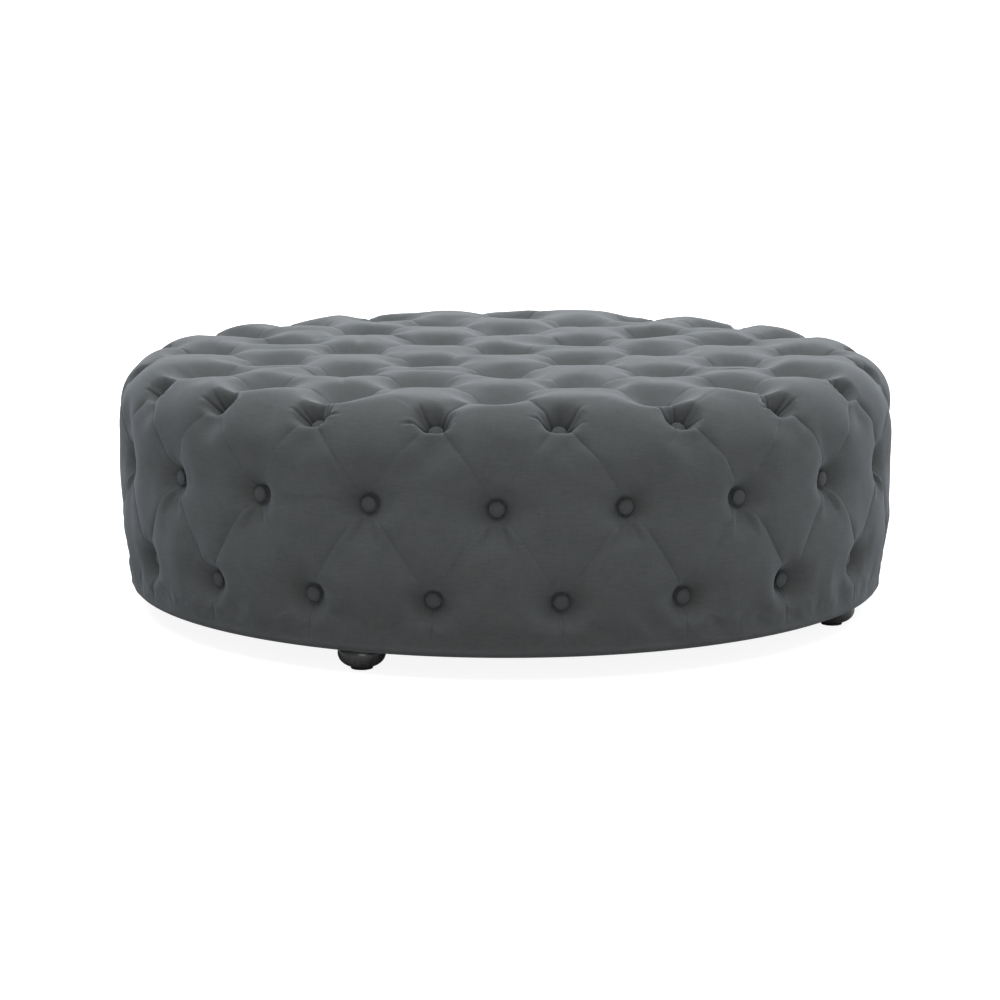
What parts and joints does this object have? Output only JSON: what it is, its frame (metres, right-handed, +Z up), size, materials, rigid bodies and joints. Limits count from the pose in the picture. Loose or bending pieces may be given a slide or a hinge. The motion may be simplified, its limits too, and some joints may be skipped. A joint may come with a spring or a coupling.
{
  "type": "round tufted floor pouf",
  "caption": "Round upholstered pouf with a diamond-tufted top, buttoned side and low dark bun feet; a seat, footstool or low table.",
  "frame": {"origin": "middle of the footprint, on the floor under the felt glides", "axes": "+Z up through the middle of the pouf; -Y is the front, +X the right as seen from the front"},
  "size_m": [1.2, 1.2, 0.393],
  "materials": {
    "cover_fabric": "charcoal linen-look weave, matt",
    "button_fabric": "buttons covered in the cover's charcoal weave, on waxed twine",
    "foam": "cut upholstery foam",
    "plywood": "raw birch plywood",
    "bending_ply": "raw bending plywood",
    "pine": "sawn pine",
    "foot_wood": "near-black stain under satin lacquer",
    "zinc_steel": "zinc-plated steel",
    "felt": "black pressed felt",
    "cambric": "black non-woven dust cloth"
  },
  "bodies": {
    "root": {"cover": "cover_fabric", "foam_top": "foam", "foam_side": "foam", "deck_board": "plywood", "base_board": "plywood", "side_panel": "bending_ply", "dust_cover": "cambric", "post_1": "pine", "post_2": "pine", "post_3": "pine", "post_4": "pine", "post_5": "pine", "post_6": "pine", "post_7": "pine", "post_8": "pine", "centre_post_1": "pine", "centre_post_2": "pine", "centre_post_3": "pine", "centre_post_4": "pine", "foot_1": "foot_wood", "foot_2": "foot_wood", "foot_3": "foot_wood", "foot_4": "foot_wood", "hanger_bolt_1": "zinc_steel", "hanger_bolt_2": "zinc_steel", "hanger_bolt_3": "zinc_steel", "hanger_bolt_4": "zinc_steel", "tee_nut_1": "zinc_steel", "tee_nut_2": "zinc_steel", "tee_nut_3": "zinc_steel", "tee_nut_4": "zinc_steel", "glide_1": "felt", "glide_2": "felt", "glide_3": "felt", "glide_4": "felt", "tuft_lower_row": "button_fabric", "tuft_upper_row": "button_fabric", "tuft_shoulder_row": "button_fabric", "tuft_top_row_1": "button_fabric", "tuft_top_row_2": "button_fabric", "tuft_top_row_3": "button_fabric", "tuft_top_row_4": "button_fabric", "tuft_top_row_5": "button_fabric", "tuft_top_row_6": "button_fabric", "tuft_top_row_7": "button_fabric", "tuft_top_row_8": "button_fabric", "tuft_top_row_9": "button_fabric"}
  },
  "joints": []
}
